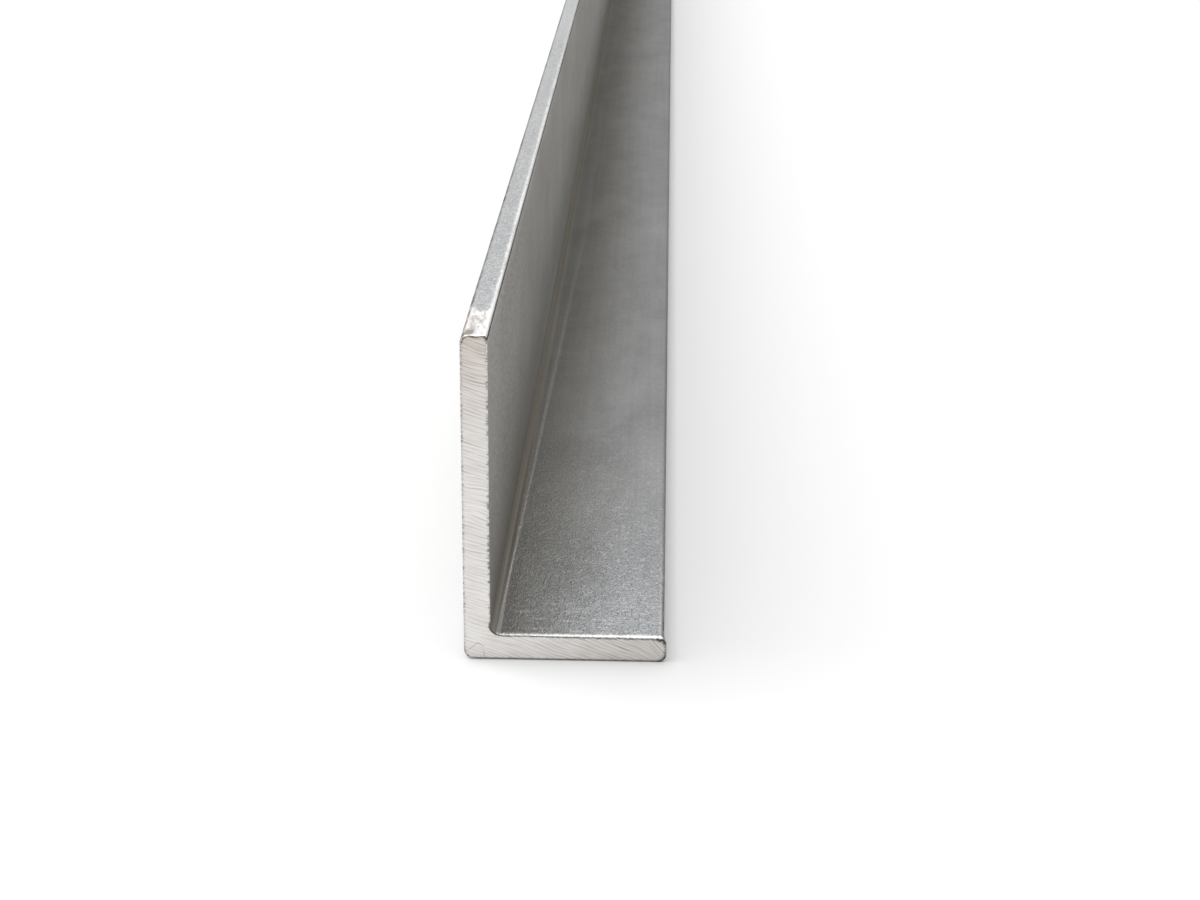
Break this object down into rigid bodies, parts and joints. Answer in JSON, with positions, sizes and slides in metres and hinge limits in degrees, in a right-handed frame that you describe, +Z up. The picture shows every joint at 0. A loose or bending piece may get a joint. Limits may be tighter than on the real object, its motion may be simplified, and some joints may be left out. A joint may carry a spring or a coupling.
{
  "type": "metal angle section",
  "caption": "Straight length of unequal-leg stainless steel angle with rounded toes and sawn ends, lying on its short leg.",
  "frame": {"origin": "centre of the bounding box in plan, on the underside of the short leg", "axes": "+X across the short leg towards its toe, +Y along the bar, +Z up the long leg"},
  "size_m": [0.03, 1, 0.05],
  "materials": {
    "steel": "descaled mill finish, dull grey, with brighter sawn ends and a file-dressed patch"
  },
  "bodies": {
    "root": {"angle_section": "steel"}
  },
  "joints": []
}
